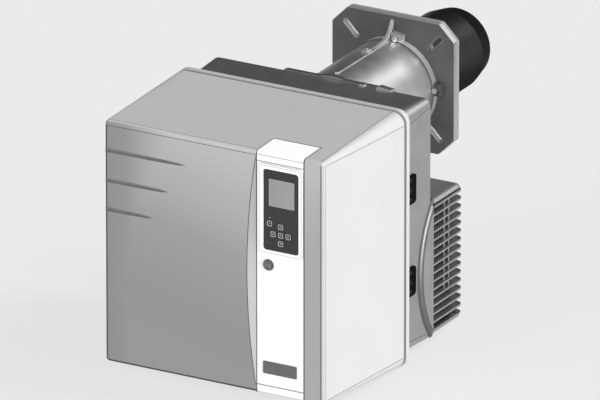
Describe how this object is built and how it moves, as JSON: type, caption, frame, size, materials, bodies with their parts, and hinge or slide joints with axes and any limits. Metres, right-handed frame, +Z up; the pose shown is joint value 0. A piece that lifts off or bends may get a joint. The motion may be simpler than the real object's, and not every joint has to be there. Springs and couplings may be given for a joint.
{
  "type": "oil burner",
  "caption": "Forced-draught light-oil burner: silencing hood with display, fan housing with louvred air box, neck, slotted square flange and blast tube.",
  "frame": {"origin": "on the burner axis, in the plane where the flange gasket meets the boiler", "axes": "+X to the right seen from the hood's front, +Y into the boiler along the blast tube, +Z up"},
  "size_m": [0.462, 0.8409, 0.5162],
  "materials": {
    "gasket_fibre": "compressed mineral fibre sheet",
    "cast_grey": "grey painted aluminium casting",
    "bright_aluminium": "machined and blasted",
    "zinc_steel": "zinc plated",
    "black_steel": "heat-resistant matt black",
    "sheet_steel": "zinc-plated sheet",
    "motor_paint": "dark grey stove enamel",
    "core_steel": "laminated",
    "black_plastic": "moulded, fine grain",
    "pump_zinc": "grey pressure die casting",
    "copper": "drawn copper pipe",
    "control_grey": "moulded",
    "brass": "turned",
    "porcelain": "fired, unglazed",
    "rubber": "matt",
    "hood_grey": "moulded, satin",
    "silver_panel": "silver satin metallic",
    "white_plastic": "moulded, smooth",
    "foam": "open-cell acoustic foam",
    "dark_panel": "membrane overlay",
    "lcd_glass": "display glass, unlit",
    "lamp": "clear lens, unlit",
    "board": "laminate",
    "plate_grey": "anodised, bare"
  },
  "bodies": {
    "burner": {"flange_gasket": "gasket_fibre", "flange_plate": "cast_grey", "clamp_collar": "cast_grey", "neck": "bright_aluminium", "case_screws": "zinc_steel", "blast_tube": "black_steel", "burner_housing": "cast_grey", "inlet_cone": "sheet_steel", "motor_frame": "motor_paint", "motor_end_caps": "cast_grey", "motor_bearings": "sheet_steel", "motor_stator": "core_steel", "motor_terminal_box": "black_plastic", "pump_adapter": "cast_grey", "oil_pump": "pump_zinc", "solenoid_valve": "black_plastic", "oil_pipe": "copper", "equipment_plate": "sheet_steel", "plate_screws": "zinc_steel", "hood_post": "zinc_steel", "ignition_transformer": "black_plastic", "control_base": "black_plastic", "control_unit": "control_grey", "flame_sensor": "black_plastic", "damper_servomotor": "black_plastic", "nozzle_line_guide": "brass", "air_box": "cast_grey", "louvre_cover": "cast_grey", "cable_grommets": "rubber", "hood_seal": "rubber"},
    "hood": {"hood_shell": "hood_grey", "front_panel": "silver_panel", "column_fascia": "white_plastic", "column_end_caps": "white_plastic", "hood_foam": "foam", "display_bezel": "white_plastic", "display_panel": "dark_panel", "lcd_window": "lcd_glass", "status_led": "lamp", "display_board": "board", "name_plate": "plate_grey"},
    "lock_screw": {"hood_lock_screw": "zinc_steel"},
    "fan_rotor": {"motor_rotor": "core_steel", "fan_wheel": "sheet_steel", "pump_coupling": "black_plastic"},
    "damper": {"damper_flap": "sheet_steel"},
    "nozzle_line": {"nozzle_pipe": "brass", "nozzle_holder": "brass", "nozzle": "brass", "diffuser_plate": "sheet_steel", "ignition_electrodes": "porcelain", "ignition_leads": "rubber", "electrode_clamp": "sheet_steel"},
    "adjuster": {"adjusting_screw": "black_plastic"},
    "key_mode": {"key_mode": "dark_panel"},
    "key_up": {"key_up": "dark_panel"},
    "key_down": {"key_down": "dark_panel"},
    "key_left": {"key_left": "dark_panel"},
    "key_right": {"key_right": "dark_panel"},
    "key_ok": {"key_ok": "dark_panel"}
  },
  "joints": [
    {"name": "hood_slide", "type": "slide", "parent": "burner", "child": "hood", "axis": [0, -1, 0], "range_m": [0, 0.29]},
    {"name": "lock_turn", "type": "hinge", "parent": "hood", "child": "lock_screw", "pos_m": [0.0875, -0.6216, -0.12], "axis": [0, 1, 0], "range_deg": [0, 90]},
    {"name": "fan_spin", "type": "hinge", "parent": "burner", "child": "fan_rotor", "pos_m": [-0.045, -0.346, -0.205], "axis": [0, 1, 0], "continuous": true},
    {"name": "damper_turn", "type": "hinge", "parent": "burner", "child": "damper", "pos_m": [0.115, -0.2392, -0.24], "axis": [0, 1, 0], "range_deg": [0, 90]},
    {"name": "adjuster_turn", "type": "hinge", "parent": "burner", "child": "adjuster", "pos_m": [0, -0.442, 0], "axis": [0, -1, 0], "range_deg": [0, 1800]},
    {"name": "nozzle_line_slide", "type": "slide", "parent": "burner", "child": "nozzle_line", "axis": [0, 1, 0], "range_m": [0, 0.01]},
    {"name": "press_mode", "type": "slide", "parent": "hood", "child": "key_mode", "axis": [0, 1, 0], "range_m": [0, 0.001], "stiffness_N_per_m": 400, "springref_m": -0.001},
    {"name": "press_up", "type": "slide", "parent": "hood", "child": "key_up", "axis": [0, 1, 0], "range_m": [0, 0.001], "stiffness_N_per_m": 400, "springref_m": -0.001},
    {"name": "press_down", "type": "slide", "parent": "hood", "child": "key_down", "axis": [0, 1, 0], "range_m": [0, 0.001], "stiffness_N_per_m": 400, "springref_m": -0.001},
    {"name": "press_left", "type": "slide", "parent": "hood", "child": "key_left", "axis": [0, 1, 0], "range_m": [0, 0.001], "stiffness_N_per_m": 400, "springref_m": -0.001},
    {"name": "press_right", "type": "slide", "parent": "hood", "child": "key_right", "axis": [0, 1, 0], "range_m": [0, 0.001], "stiffness_N_per_m": 400, "springref_m": -0.001},
    {"name": "press_ok", "type": "slide", "parent": "hood", "child": "key_ok", "axis": [0, 1, 0], "range_m": [0, 0.001], "stiffness_N_per_m": 400, "springref_m": -0.001}
  ],
  "couplings": [
    {"joint": "adjuster_turn", "follows": "nozzle_line_slide", "rad_per_m": 3141.6}
  ]
}
